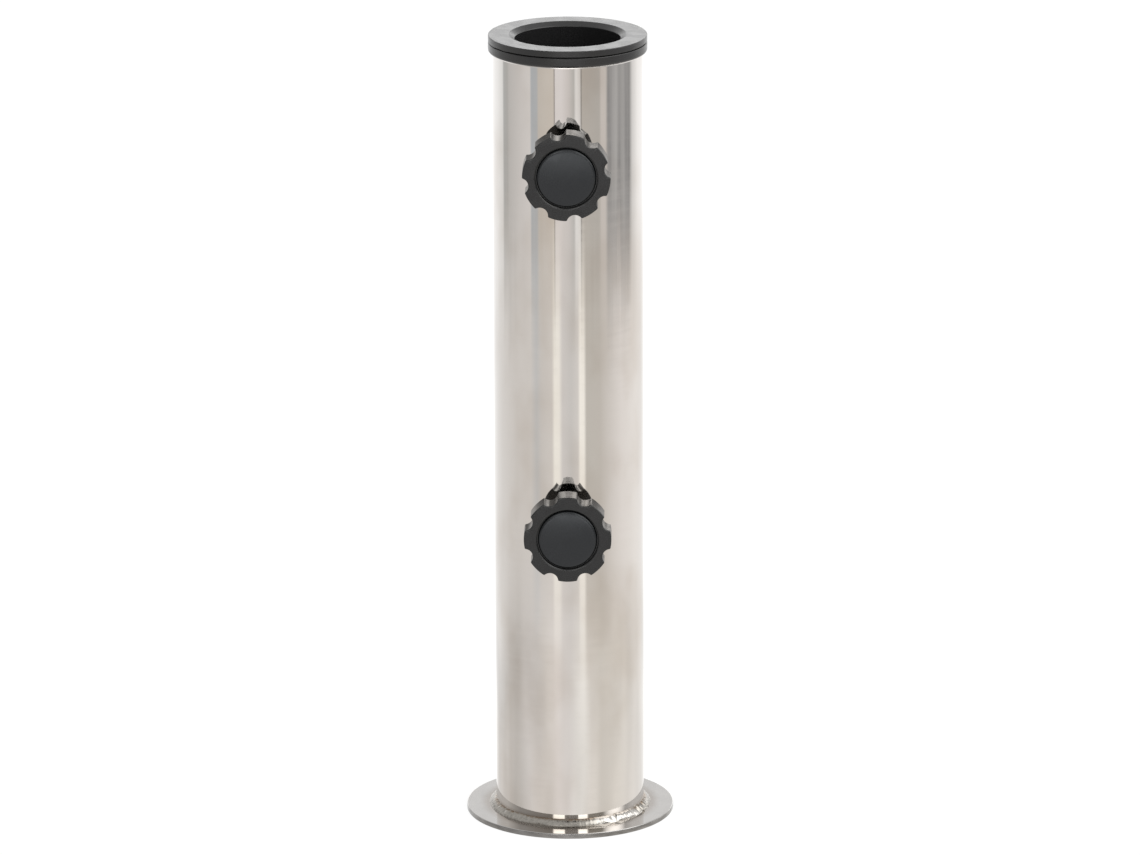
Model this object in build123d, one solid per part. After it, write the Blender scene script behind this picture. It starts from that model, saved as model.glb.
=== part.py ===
"""Parasol pole holder: a steel tube on a round foot plate, with two clamp knobs and two pole bushes.

Millimetres, +Z up. The origin is the middle of the foot plate's underside, on the tube's axis.
The clamps face -Y. Each piece is one node, written to parts/NODE.step.
"""
import os

from build123d import *

BOTTOM = (Align.CENTER, Align.CENTER, Align.MIN)

# Tube and foot plate
TUBE_R = 27.5
TUBE_WALL = 1.2
TUBE_TOP = 289.3
PLATE_R = 38.5
PLATE_T = 2.0
PLATE_EDGE = 0.35
BASE_WELD_LEG = 2.7
BASE_WELD_HEIGHT = 2.4

# Pilot weld nut in the foot plate, M10
BASE_NUT_FLATS = 17.0
BASE_NUT_H = 8.0
BASE_NUT_PILOT_R = 6.95
BASE_NUT_BORE_R = 4.25
PILOT_GAP = 0.05

# Bushes in the tube's mouth
FLANGE_R = 29.0
OUTER_FLANGE_T = 3.5
OUTER_FLANGE_ROUNDING = 1.0
OUTER_SLEEVE_R = 26.1
OUTER_BORE_R = 24.5
OUTER_SLEEVE_L = 28.0
INNER_FLANGE_T = 2.7
INNER_REBATE_T = 0.4
INNER_REBATE_W = 1.3
INNER_SLEEVE_R = 24.3
INNER_SLEEVE_L = 30.0
INNER_WALL_R = 21.4
POLE_BORE_R = 19.25
MOUTH_R = 21.4
MOUTH_DEPTH = 1.5
RIB_COUNT = 12
RIB_T = 1.6

# Clamps: heights of the two screws, and how far each knob stands turned about its own axis
CLAMP_Z = {"upper": 251.7, "lower": 116.0}
KNOB_TURN = {"upper": -12.1, "lower": 0.0}

# Knob, measured outwards from the tube's axis
KNOB_R = 16.0
KNOB_FRONT = 41.4
KNOB_BACK = 32.5
LOBES = 8
NOTCH_R = 3.0
NOTCH_FLOOR_R = 14.0
LOBE_CORNER = 0.5
FRONT_EDGE = 0.5
BACK_EDGE = 0.3
CAP_R = 10.8
CAP_GROOVE_R = 11.2
CAP_GROOVE_DEPTH = 1.6
CAP_LIP = 0.6
CAP_GAP = 0.05
CAP_SEAT = 38.3
CAP_EDGE = 41.2
CAP_CROWN = 41.75
CAP_UNDER = 40.75
CAP_ROUNDING = 1.0
CAP_SKIRT_R = 9.0
HUB_R = 8.9
HUB_BACK = 33.5
CORE_R = 12.0
CORE_TOP = 36.3
KNOB_RIB_T = 1.2

# Clamp screw, nut and tip, M8
HEAD_FLATS = 13.0
HEAD_H = 5.3
HEAD_SEAT = 35.3
HEAD_GAP = 0.05
SCREW_R = 3.95
SCREW_L = 12.0
SCREW_HOLE_R = 4.1
NUT_FLATS = 13.0
NUT_FACE = 31.5
NUT_BORE_R = 4.0
TUBE_HOLE_R = 4.5
NUT_WELD_TOP = 29.9
NUT_WELD_TOP_R = 7.8
NUT_WELD_FOOT_R = 10.2
TIP_R = 3.2
TIP_L = 3.45
TIP_STEM_R = 1.6
TIP_STEM_L = 3.5
TIP_GAP = 0.05

TUBE_BORE_R = TUBE_R - TUBE_WALL
SCREW_END = HEAD_SEAT - SCREW_L
OUTER_TOP = TUBE_TOP + OUTER_FLANGE_T
INNER_TOP = OUTER_TOP + INNER_FLANGE_T


def disc(radius, low, high):
    """A cylinder on the Z axis between two heights."""
    return Pos(0, 0, low) * Cylinder(radius, high - low, align=BOTTOM)


def ring(radius, bore, low, high):
    """A tube on the Z axis between two heights, with its bore cut right through."""
    return disc(radius, low, high) - disc(bore, low - 1, high + 1)


def hexagon(flats, low, high):
    """A hexagonal prism on the Z axis, with two of its flats facing +X and -X."""
    outline = RegularPolygon(flats / 2, 6, major_radius=False, rotation=30)
    return Pos(0, 0, low) * extrude(outline, high - low)


def turned(*points):
    """A solid of revolution about Z from the corners (radius, height) of its section."""
    section = make_face(Polyline(*[(r, 0, z) for r, z in points], close=True))
    return revolve(section, Axis.Z)


def edges_at(shape, height):
    """The edges of a shape that lie flat at one height."""
    return shape.edges().filter_by_position(Axis.Z, height - 0.01, height + 0.01)


def facing_front(shape, name):
    """Turn a clamp piece, drawn with +Z outwards from the tube, to face -Y at its clamp's height."""
    return Pos(0, 0, CLAMP_Z[name]) * Rot(90, 0, 0) * shape


def make_tube():
    """The tube, with a clearance hole in its front wall for each clamp screw."""
    tube = ring(TUBE_R, TUBE_BORE_R, PLATE_T, TUBE_TOP)
    for name in CLAMP_Z:
        tube -= facing_front(disc(TUBE_HOLE_R, TUBE_BORE_R - 3, TUBE_R + 1), name)
    return tube


def make_base_plate():
    """The foot plate, with its edges eased and a hole for the weld nut's pilot."""
    plate = disc(PLATE_R, 0, PLATE_T)
    plate = fillet(plate.edges().filter_by(GeomType.CIRCLE), PLATE_EDGE)
    return plate - disc(BASE_NUT_PILOT_R + PILOT_GAP, -1, PLATE_T + 1)


def make_base_weld():
    """The fillet weld that joins the tube to the foot plate."""
    leg = TUBE_R + BASE_WELD_LEG
    top = PLATE_T + BASE_WELD_HEIGHT
    middle = (TUBE_R + 0.62 * BASE_WELD_LEG, PLATE_T + 0.62 * BASE_WELD_HEIGHT)
    return turned((TUBE_R, PLATE_T), (leg, PLATE_T), middle, (TUBE_R, top))


def make_base_nut():
    """A hexagonal weld nut on the foot plate, whose round pilot fills the plate's hole."""
    nut = hexagon(BASE_NUT_FLATS, PLATE_T, PLATE_T + BASE_NUT_H)
    corner_r = BASE_NUT_FLATS / 2 / 0.866
    top = PLATE_T + BASE_NUT_H
    crown = turned((0, 0), (corner_r + 1, 0), (corner_r + 1, top - 1.2), (corner_r - 1, top), (0, top))
    nut = (nut & crown) + disc(BASE_NUT_PILOT_R, 0, PLATE_T)
    return nut - disc(BASE_NUT_BORE_R, -1, top + 1)


def make_outer_bush():
    """The bush that lines the tube: a flange on the tube's end and a thin sleeve inside it."""
    foot = TUBE_TOP - OUTER_SLEEVE_L
    bush = turned(
        (OUTER_BORE_R, foot),
        (OUTER_SLEEVE_R - 0.6, foot),
        (OUTER_SLEEVE_R, foot + 1.5),
        (OUTER_SLEEVE_R, TUBE_TOP),
        (FLANGE_R, TUBE_TOP),
        (FLANGE_R, OUTER_TOP),
        (OUTER_BORE_R, OUTER_TOP),
    )
    rim = [e for e in edges_at(bush, OUTER_TOP) if e.radius > FLANGE_R - 0.1]
    bush = fillet(rim, 0.35)
    rim = [e for e in edges_at(bush, TUBE_TOP) if e.radius > FLANGE_R - 0.1]
    return fillet(rim, OUTER_FLANGE_ROUNDING)


def make_inner_bush():
    """The reducer: a flange, a slim sleeve that guides the pole, and ribs that fill the outer bush."""
    foot = OUTER_TOP - INNER_SLEEVE_L
    step = FLANGE_R - INNER_REBATE_W
    bush = turned(
        (POLE_BORE_R, foot),
        (INNER_WALL_R, foot),
        (INNER_WALL_R, OUTER_TOP),
        (step, OUTER_TOP),
        (step, OUTER_TOP + INNER_REBATE_T),
        (FLANGE_R, OUTER_TOP + INNER_REBATE_T),
        (FLANGE_R, INNER_TOP),
        (MOUTH_R, INNER_TOP),
        (POLE_BORE_R, INNER_TOP - MOUTH_DEPTH),
    )
    rim = [e for e in bush.edges().filter_by(GeomType.CIRCLE) if e.radius > FLANGE_R - 0.1]
    bush = fillet(rim, 0.3)
    reach = INNER_SLEEVE_R - INNER_WALL_R + 0.5
    rib = Pos(INNER_WALL_R - 0.5, 0, foot + 1) * Box(
        reach, RIB_T, INNER_SLEEVE_L - 1, align=(Align.MIN, Align.CENTER, Align.MIN)
    )
    rib &= disc(INNER_SLEEVE_R, foot, OUTER_TOP)
    for index in range(RIB_COUNT):
        bush += Rot(0, 0, (index + 0.5) * 360 / RIB_COUNT) * rib
    return bush


def knob_outline():
    """The knob's outline: a circle with a round notch between each pair of lobes, corners eased."""
    outline = Circle(KNOB_R)
    for index in range(LOBES):
        angle = (index + 0.5) * 360 / LOBES
        outline -= Rot(0, 0, angle) * Pos(NOTCH_FLOOR_R + NOTCH_R, 0) * Circle(NOTCH_R)
    return fillet(outline.vertices(), LOBE_CORNER)


def make_knob(name):
    """The grip: lobed rim, cored back with a ribbed hub, hexagonal pocket and a seat for the cap."""
    knob = Pos(0, 0, KNOB_BACK) * extrude(knob_outline(), KNOB_FRONT - KNOB_BACK)
    knob = fillet(edges_at(knob, KNOB_FRONT), FRONT_EDGE)
    knob = fillet(edges_at(knob, KNOB_BACK), BACK_EDGE)
    groove_floor = KNOB_FRONT - CAP_GROOVE_DEPTH
    knob -= turned(
        (0, CAP_SEAT),
        (CAP_R + CAP_GAP, CAP_SEAT),
        (CAP_R + CAP_GAP, groove_floor),
        (CAP_GROOVE_R, groove_floor),
        (CAP_GROOVE_R, KNOB_FRONT - CAP_LIP),
        (CAP_GROOVE_R + CAP_LIP, KNOB_FRONT),
        (CAP_GROOVE_R + CAP_LIP, KNOB_FRONT + 1),
        (0, KNOB_FRONT + 1),
    )
    core = disc(CORE_R, KNOB_BACK - 1, CORE_TOP) - disc(HUB_R, HUB_BACK, CORE_TOP + 1)
    rib = Pos(HUB_R - 0.5, 0, HUB_BACK) * Box(
        CORE_R - HUB_R + 1, KNOB_RIB_T, CORE_TOP - HUB_BACK + 1, align=(Align.MIN, Align.CENTER, Align.MIN)
    )
    for index in range(LOBES):
        core -= Rot(0, 0, index * 360 / LOBES) * rib
    knob -= core
    knob -= hexagon(HEAD_FLATS + 2 * HEAD_GAP, HEAD_SEAT, CAP_SEAT + 1)
    knob -= disc(SCREW_HOLE_R, HUB_BACK - 1, HEAD_SEAT + 1)
    return facing_front(Rot(0, 0, KNOB_TURN[name]) * knob, name)


def make_knob_cap(name):
    """The snap-in cap: a slightly domed disc on a short skirt that goes round the screw's head."""
    rise = CAP_CROWN - CAP_EDGE
    dome_r = (CAP_R**2 + rise**2) / (2 * rise)
    cap = disc(CAP_R, CAP_SEAT, CAP_CROWN + 1) & (Pos(0, 0, CAP_CROWN - dome_r) * Sphere(dome_r))
    rim = [e for e in cap.edges().filter_by(GeomType.CIRCLE) if e.center().Z > CAP_EDGE - 0.1]
    cap = fillet(rim, CAP_ROUNDING)
    cap -= disc(CAP_SKIRT_R, CAP_SEAT - 1, CAP_UNDER)
    return facing_front(Rot(0, 0, KNOB_TURN[name]) * cap, name)


def make_clamp_screw(name):
    """The hexagon head bolt in the knob, with a socket in its end for the tip. The thread is left plain."""
    corner_r = HEAD_FLATS / 2 / 0.866
    top = HEAD_SEAT + HEAD_H
    crown = turned((0, 0), (corner_r + 1, 0), (corner_r + 1, top - 1), (corner_r - 0.6, top), (0, top))
    shank = turned(
        (0, SCREW_END),
        (SCREW_R - 0.6, SCREW_END),
        (SCREW_R, SCREW_END + 0.6),
        (SCREW_R, HEAD_SEAT + 1),
        (0, HEAD_SEAT + 1),
    )
    screw = (hexagon(HEAD_FLATS, HEAD_SEAT, top) & crown) + shank
    screw -= disc(TIP_STEM_R + TIP_GAP, SCREW_END - 1, SCREW_END + TIP_STEM_L + 0.5)
    return facing_front(Rot(0, 0, KNOB_TURN[name]) * screw, name)


def make_screw_tip(name):
    """The nylon tip: a stem in the screw's end and a round head that presses on the pole."""
    face = SCREW_END - TIP_GAP - TIP_L
    head = fillet(disc(TIP_R, face, face + TIP_L).edges(), 0.4)
    return facing_front(head + disc(TIP_STEM_R, face + TIP_L - 1, SCREW_END + TIP_STEM_L), name)


def make_nut(name):
    """The clamp nut, its foot ground to the tube's curve."""
    corner_r = NUT_FLATS / 2 / 0.866
    brim_r = corner_r + 1
    crown = turned((0, 0), (brim_r, 0), (brim_r, NUT_FACE - 1), (corner_r - 0.6, NUT_FACE), (0, NUT_FACE))
    nut = hexagon(NUT_FLATS, TUBE_BORE_R - 3, NUT_FACE) & crown
    nut = facing_front(nut - disc(NUT_BORE_R, 0, NUT_FACE + 1), name)
    return nut - disc(TUBE_R, 0, TUBE_TOP)


def make_nut_weld(name):
    """The weld that closes the corner between the clamp nut and the tube."""
    foot = TUBE_BORE_R - 3
    cone = turned((0, foot), (NUT_WELD_FOOT_R, foot), (NUT_WELD_TOP_R, NUT_WELD_TOP), (0, NUT_WELD_TOP))
    cone -= hexagon(NUT_FLATS, foot - 1, NUT_FACE)
    return facing_front(cone, name) - disc(TUBE_R, 0, TUBE_TOP)


def main():
    """Make every piece and write its STEP file."""
    pieces = {
        "tube": make_tube(),
        "base_plate": make_base_plate(),
        "base_weld": make_base_weld(),
        "base_nut": make_base_nut(),
        "outer_bush": make_outer_bush(),
        "inner_bush": make_inner_bush(),
    }
    for name in CLAMP_Z:
        pieces[f"{name}_knob"] = make_knob(name)
        pieces[f"{name}_knob_cap"] = make_knob_cap(name)
        pieces[f"{name}_clamp_screw"] = make_clamp_screw(name)
        pieces[f"{name}_screw_tip"] = make_screw_tip(name)
        pieces[f"{name}_nut"] = make_nut(name)
        pieces[f"{name}_nut_weld"] = make_nut_weld(name)
    os.makedirs("parts", exist_ok=True)
    for node, shape in pieces.items():
        export_step(shape, f"parts/{node}.step")


if __name__ == "__main__":
    main()
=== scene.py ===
"""The looks of a parasol pole holder: a polished tube on a foot plate, two bushes and two clamp knobs.

Laid out as an add-on and run as a script. Metres, in the CAD model's own frame: +Z up, the clamps face -Y.
Clamp pieces are drawn in a clamp's own frame, with z outwards from the tube's axis and y up, and then
turned to face -Y at the clamp's height.
"""
import math

import bmesh
import bpy
import numpy as np
from bpy.props import FloatProperty, FloatVectorProperty, IntProperty, PointerProperty
from mathutils import Matrix, Vector


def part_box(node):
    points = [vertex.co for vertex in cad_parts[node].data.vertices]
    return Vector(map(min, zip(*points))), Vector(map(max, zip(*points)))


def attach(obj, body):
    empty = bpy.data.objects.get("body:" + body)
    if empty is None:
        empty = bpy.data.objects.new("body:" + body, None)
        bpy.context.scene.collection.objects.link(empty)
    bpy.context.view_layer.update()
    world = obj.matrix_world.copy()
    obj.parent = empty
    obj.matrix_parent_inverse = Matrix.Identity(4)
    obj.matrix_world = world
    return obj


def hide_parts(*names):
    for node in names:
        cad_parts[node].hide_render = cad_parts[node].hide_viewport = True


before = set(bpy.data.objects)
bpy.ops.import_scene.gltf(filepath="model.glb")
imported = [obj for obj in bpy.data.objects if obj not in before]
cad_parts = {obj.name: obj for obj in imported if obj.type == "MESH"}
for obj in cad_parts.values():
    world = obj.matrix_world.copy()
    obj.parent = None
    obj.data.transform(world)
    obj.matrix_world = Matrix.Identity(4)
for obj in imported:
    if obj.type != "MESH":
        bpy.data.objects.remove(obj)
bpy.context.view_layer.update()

bl_info = {
    "name": "Parasol Pole Holder",
    "version": (1, 0, 0),
    "blender": (4, 5, 0),
    "location": "3D View > Sidebar > Holder",
    "description": "Builds a polished steel parasol pole holder around its packed CAD frame",
    "category": "Object",
}

MM = 0.001
CLAMPS = ("upper", "lower")
STAND = "stand"
SHARP = 28.0
WELD_SHARP = 50.0


# --- Sizes that come from the frame ---

def high(node):
    """The highest corner of a CAD node's box."""
    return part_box(node)[1]


def low(node):
    """The lowest corner of a CAD node's box."""
    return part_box(node)[0]


TUBE_R = high("tube").x
TUBE_FOOT = low("tube").z
TUBE_TOP = high("tube").z
PLATE_R = high("base_plate").x
PLATE_T = high("base_plate").z
FLANGE_R = high("outer_bush").x
FLANGE_SPLIT = high("outer_bush").z
MOUTH_TOP = high("inner_bush").z
KNOB_R = (high("lower_knob").z - low("lower_knob").z) / 2
KNOB_FRONT = -low("lower_knob").y
KNOB_BACK = -high("lower_knob").y
CAP_R = high("lower_knob_cap").x
CAP_CROWN = -low("lower_knob_cap").y
CAP_SEAT = -high("lower_knob_cap").y
HEAD_FLATS = 2 * high("lower_clamp_screw").x
HEAD_TOP = -low("lower_clamp_screw").y
SCREW_END = -high("lower_clamp_screw").y
NUT_FLATS = 2 * high("lower_nut").x
NUT_FACE = -low("lower_nut").y
TIP_R = high("lower_screw_tip").x
TIP_FACE = -high("lower_screw_tip").y
BASE_NUT_FLATS = 2 * high("base_nut").x
BASE_NUT_TOP = high("base_nut").z

# Sizes inside the pieces, which their boxes don't show
TUBE_HOLE_R = 4.5 * MM
PLATE_HOLE_R = 7.0 * MM
PILOT_R = 6.95 * MM
BASE_THREAD = (4.25 * MM, 5.0 * MM)
NUT_THREAD = (3.36 * MM, 4.0 * MM)
NUT_WELD_R = 9.7 * MM
NUT_WELD_TOP = 29.8 * MM
LINER_BORE_R = 24.5 * MM
LINER_SLEEVE_R = 26.1 * MM
REDUCER_WALL_R = 21.4 * MM
REDUCER_RIB_R = 24.3 * MM
CAP_LIP_R = 11.8 * MM
CAP_GROOVE_R = 11.2 * MM
CAP_GROOVE_DEPTH = 1.6 * MM
CAP_SKIRT_R = 9.0 * MM
CAP_UNDER = 40.75 * MM
HEAD_SEAT = 35.3 * MM
HUB_BACK = 33.5 * MM
HUB_R = 8.9 * MM
CORE_R = 12.0 * MM
CORE_TOP = 36.3 * MM
SCREW_R = 3.93 * MM
SCREW_ROOT_R = 3.26 * MM
SCREW_HOLE_R = 4.1 * MM


def clamp_height(name):
    """The height of a clamp's screw: the middle of its nut's box."""
    lo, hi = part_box(name + "_nut")
    return (lo.z + hi.z) / 2


# --- User sizes and colours ---

def length(name, description, default):
    """A length property in metres."""
    return FloatProperty(name=name, description=description, default=default, min=0.0, unit="LENGTH",
                         precision=5)


def colour(name, description, default):
    """A colour property."""
    return FloatVectorProperty(name=name, description=description, default=default, size=3, min=0.0, max=1.0,
                               subtype="COLOR")


class HolderSizes(bpy.types.PropertyGroup):
    """Sizes of the details that the looks add or round off"""

    tube_wall: length("Tube wall", "Thickness of the tube's wall", 1.2 * MM)
    plate_edge: length("Plate edge", "Rounding of the foot plate's edges", 0.35 * MM)
    bush_edge: length("Bush edge", "Rounding of the bush flanges' edges", 0.3 * MM)
    flange_gap: length("Flange gap", "Height of the groove between the two flanges", 0.4 * MM)
    groove_depth: length("Flange groove", "How far the groove between the flanges goes in", 1.3 * MM)
    mouth_r: length("Mouth radius", "Radius of the reducer's mouth where its chamfer starts", 21.4 * MM)
    mouth_depth: length("Mouth depth", "Depth of the mouth's chamfer", 1.5 * MM)
    pole_bore_r: length("Pole bore radius", "Radius of the reducer's bore", 19.25 * MM)
    knob_edge: length("Knob edge", "Rounding of the knob's front edge", 0.45 * MM)
    notch_r: length("Notch radius", "Radius of the finger notches in the knob's rim", 3.0 * MM)
    notch_floor_r: length("Notch floor", "Distance of a notch's floor from the knob's axis", 14.0 * MM)
    weld_leg: length("Weld leg", "How far the foot weld reaches out on the plate", 2.6 * MM)
    weld_height: length("Weld height", "How far the foot weld reaches up the tube", 2.2 * MM)
    weld_ripple: length("Weld ripple", "Distance from one ripple of the weld to the next", 1.5 * MM)
    thread_pitch: length("Thread pitch", "Pitch of the clamp screws", 1.25 * MM)
    base_pitch: length("Base thread pitch", "Pitch of the base nut's thread", 1.5 * MM)
    lobes: IntProperty(name="Lobes", description="Number of lobes on a knob", default=8, min=3, max=24)
    ribs: IntProperty(name="Ribs", description="Number of ribs on the reducer", default=12, min=3, max=48)
    segments: IntProperty(name="Segments", description="Facets round the tube", default=480, min=48, max=720)


class HolderColours(bpy.types.PropertyGroup):
    """Colours of the holder's finishes and of the stage"""

    steel: colour("Steel", "Polished tube", (0.735, 0.705, 0.675))
    plate: colour("Plate", "Polished foot plate", (0.49, 0.475, 0.46))
    weld: colour("Weld", "Weld metal", (0.34, 0.32, 0.29))
    tint: colour("Heat tint", "Straw and brown tint beside the welds", (0.20, 0.145, 0.10))
    hardware: colour("Hardware", "Nuts and screws", (0.56, 0.56, 0.55))
    bush: colour("Bush", "Moulded bushes", (0.014, 0.014, 0.0145))
    knob: colour("Knob", "Clamp knobs", (0.007, 0.0072, 0.0076))
    cap: colour("Cap", "Knob caps", (0.0058, 0.0062, 0.0072))
    nylon: colour("Nylon", "Screw tips", (0.80, 0.78, 0.71))
    floor: colour("Floor", "Stage floor", (0.90, 0.90, 0.90))


def sizes():
    """The scene's sizes."""
    return bpy.context.scene.holder_sizes


def shade(name, strength=1.0):
    """One of the scene's colours, at a share of its strength."""
    return tuple(strength * part for part in getattr(bpy.context.scene.holder_colours, name))


# --- Shapes: whole arrays of points ---

def turn(count):
    """Angles of a full turn, evenly spaced, without the last one."""
    return np.arange(count) * (2 * np.pi / count)


def rounded(corners, steps=5):
    """A closed section from corners (radius, height, rounding).

    Each corner gives an arc that meets both its edges: it starts and ends rounding * tan(turn / 2) from the
    corner, and its points are the arc's centre plus the rounding along evenly turned directions.
    """
    points = []
    count = len(corners)
    for index, (x, y, r) in enumerate(corners):
        here = np.array((x, y))
        if r <= 0:
            points.append(here[None])
            continue
        before = np.array(corners[index - 1][:2]) - here
        after = np.array(corners[(index + 1) % count][:2]) - here
        before /= np.linalg.norm(before)
        after /= np.linalg.norm(after)
        half = math.acos(np.clip(before @ after, -1, 1)) / 2
        middle = (before + after) / np.linalg.norm(before + after)
        centre = here + middle * r / math.sin(half)
        start = here + before * r / math.tan(half) - centre
        end = here + after * r / math.tan(half) - centre
        t = np.linspace(0, 1, steps + 1)[:, None]
        sweep = math.pi - 2 * half
        points.append(centre + (np.sin((1 - t) * sweep) * start + np.sin(t * sweep) * end) / math.sin(sweep))
    return np.concatenate(points)


def polar(angles, radii, heights):
    """Rings of points about the z axis from arrays of angle, radius and height that broadcast together."""
    angles, radii, heights = np.broadcast_arrays(angles, radii, heights)
    return np.stack((radii * np.cos(angles), radii * np.sin(angles), heights), axis=-1)


def lathe(section, count):
    """A surface of revolution: every section point (radius, height) goes round the z axis."""
    return polar(turn(count)[:, None], section[:, 0], section[:, 1])


def rings(angles, bands):
    """A grid about the z axis from bands of radius and height, each a number, a column or a whole array."""
    return np.concatenate([polar(angles, radius, height) for radius, height in bands], axis=1)


def spun(points, angle):
    """Points turned about the z axis."""
    matrix = np.eye(points.shape[-1])
    matrix[:2, :2] = ((math.cos(angle), math.sin(angle)), (-math.sin(angle), math.cos(angle)))
    return points @ matrix


def hexagon(angles, flats):
    """The radius of a hexagon with flats facing +X and -X: half its flats over the cosine of the angle from
    the nearest flat's middle."""
    off_flat = (angles + np.pi / 6) % (np.pi / 3) - np.pi / 6
    return flats / 2 / np.cos(off_flat)


def chamfered(angles, flats):
    """A hexagon's radius, the same kept within its end face, and how far it falls below that face under a
    cone of 30 degrees."""
    hexa = hexagon(angles, flats)
    face = flats / 2 * 0.97
    return hexa, np.minimum(hexa, face), np.maximum(hexa - face, 0) * math.tan(math.radians(30))


def thread(angles, heights, pitch, root, crest):
    """A right-hand thread's radius: a clipped triangle wave of height over pitch less angle over a turn."""
    phase = (heights / pitch - angles / (2 * np.pi)) % 1.0
    wave = np.clip(1.3 * np.abs(2 * phase - 1) - 0.15, 0, 1)
    return root + (crest - root) * wave


def waves(angles, rng, orders, roughness=1.0):
    """Smooth unevenness round a ring, about -1 to 1: sines of the given orders at random phases, each weaker
    by its order to the power of roughness."""
    orders = np.asarray(orders, dtype=float)
    phases = rng.uniform(0, 2 * np.pi, len(orders))
    weights = (orders / orders[0]) ** -roughness
    total = (weights * np.sin(angles[..., None] * orders + phases)).sum(-1)
    return total / np.sqrt((weights**2).sum())


def hump(angles, centre, width):
    """A bell from 0 to 1 round an angle in degrees, of the given half width in degrees."""
    off = (np.degrees(angles) - centre + 180) % 360 - 180
    return np.exp(-((off / width) ** 2))


def block(lo, hi):
    """A box as a grid: four corners round it on four rings, the first and last drawn in to the middle."""
    (x0, y0, z0), (x1, y1, z1) = lo, hi
    around = np.array(((x0, y0), (x1, y0), (x1, y1), (x0, y1)))
    middle = around.mean(0)
    flat = np.repeat(middle[None], 4, axis=0)
    rings = ((flat, z0), (around, z0), (around, z1), (flat, z1))
    return np.stack([np.column_stack((xy, np.full(4, z))) for xy, z in rings], axis=1)


def knob_rim(lobes, radius, notch_r, notch_floor, corner):
    """The knob's outline as points and outward directions.

    One lobe and notch are arcs that meet: the rim about the knob's axis, the eased corner, and the notch
    about a centre outside the rim. The corner's centre lies one corner radius inside the rim and one outside
    the notch, which fixes its angle by the cosine rule. The pattern is then turned once for every lobe.
    """
    pitch = 2 * np.pi / lobes
    notch_at = notch_floor + notch_r
    inner, outer = radius - corner, notch_r + corner
    lean = math.acos((inner**2 + notch_at**2 - outer**2) / (2 * inner * notch_at))
    centre = inner * np.array((math.cos(lean), math.sin(lean)))
    to_notch = np.array((notch_at, 0.0)) - centre
    facing = math.atan2(to_notch[1], to_notch[0])
    arc = np.linspace(pitch / 2, lean, 9)[:-1]
    rim = np.column_stack((np.cos(arc), np.sin(arc)))
    arc = np.linspace(lean, facing, 6)[:-1]
    ease = np.column_stack((np.cos(arc), np.sin(arc)))
    open_half = facing + np.pi
    arc = np.linspace(open_half, np.pi, 8)
    notch = np.column_stack((np.cos(arc), np.sin(arc)))
    points = np.concatenate((radius * rim, centre + corner * ease, (notch_at, 0.0) + notch_r * notch))
    facings = np.concatenate((rim, ease, -notch))
    flip = np.array((1.0, -1.0))
    points = np.concatenate((points, (points * flip)[-2:0:-1]))[::-1]
    facings = np.concatenate((facings, (facings * flip)[-2:0:-1]))[::-1]
    around = [(index + 0.5) * pitch for index in range(lobes)]
    return tuple(np.concatenate([spun(part, angle) for angle in around]) for part in (points, facings))


def at_clamp(points, name, turned=0.0):
    """Clamp points moved into the frame: turned about the clamp's axis, then z goes to -Y and y to +Z."""
    a = math.radians(turned)
    x = points[..., 0] * math.cos(a) - points[..., 1] * math.sin(a)
    y = points[..., 0] * math.sin(a) + points[..., 1] * math.cos(a)
    return np.stack((x, -points[..., 2], clamp_height(name) + y), axis=-1)


def knob_turn(name):
    """How far a knob stands turned, in degrees: the upper one is a little off the lower one's setting."""
    return -12.1 if name == "upper" else 0.0


# --- Meshes ---

def grid_faces(rows, columns, wrap_rows, wrap_columns, first):
    """Quads between neighbours of a grid whose points are numbered row by row."""
    i = np.arange(rows if wrap_rows else rows - 1)
    j = np.arange(columns if wrap_columns else columns - 1)
    i, j = np.meshgrid(i, j, indexing="ij")
    k, m = (i + 1) % rows, (j + 1) % columns
    faces = np.stack((i * columns + j, k * columns + j, k * columns + m, i * columns + m), axis=-1)
    return faces.reshape(-1, 4) + first


def make_mesh(name, grids):
    """A mesh from grids of points (rows x columns x 3).

    Rows always close on themselves. Columns close too when the grid is given as (points, True); otherwise
    the first and last columns are poles or are drawn together. Doubles are merged and faces point out.
    """
    mesh = bpy.data.meshes.new(name)
    points, faces, first = [], [], 0
    for grid, wrap in grids:
        rows, columns = grid.shape[:2]
        points.append(grid.reshape(-1, 3))
        faces.append(grid_faces(rows, columns, True, wrap, first))
        first += rows * columns
    mesh.from_pydata(np.concatenate(points).tolist(), [], np.concatenate(faces).tolist())
    work = bmesh.new()
    work.from_mesh(mesh)
    bmesh.ops.remove_doubles(work, verts=work.verts, dist=1e-7)
    bmesh.ops.dissolve_degenerate(work, edges=work.edges, dist=1e-8)
    bmesh.ops.recalc_face_normals(work, faces=work.faces)
    work.to_mesh(mesh)
    work.free()
    return mesh


def smooth(mesh, sharp):
    """Smooth shading, with edges sharp from an angle in degrees."""
    mesh.shade_smooth()
    mesh.set_sharp_from_angle(angle=math.radians(sharp))


def in_scene(name, data):
    """An object of this name and data, linked to the scene."""
    made = bpy.data.objects.new(name, data)
    bpy.context.scene.collection.objects.link(made)
    return made


def make_piece(name, grids, finish, body, stands_for, sharp=SHARP):
    """A piece from grids of points: it rides on a body, has a slot and stands for a CAD node."""
    mesh = make_mesh(name, grids)
    smooth(mesh, sharp)
    piece = in_scene(name, mesh)
    mesh.materials.append(finish)
    even = piece.modifiers.new("even shading", "WEIGHTED_NORMAL")
    even.keep_sharp = True
    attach(piece, body)
    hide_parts(stands_for)
    return piece


# --- Shader helpers and shared effects ---

def feed(tree, made, inputs):
    """Give a node its inputs: values for its sockets, or sockets to link."""
    for key, value in inputs.items():
        if isinstance(value, bpy.types.NodeSocket):
            tree.links.new(value, made.inputs[key])
        else:
            made.inputs[key].default_value = value


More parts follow.
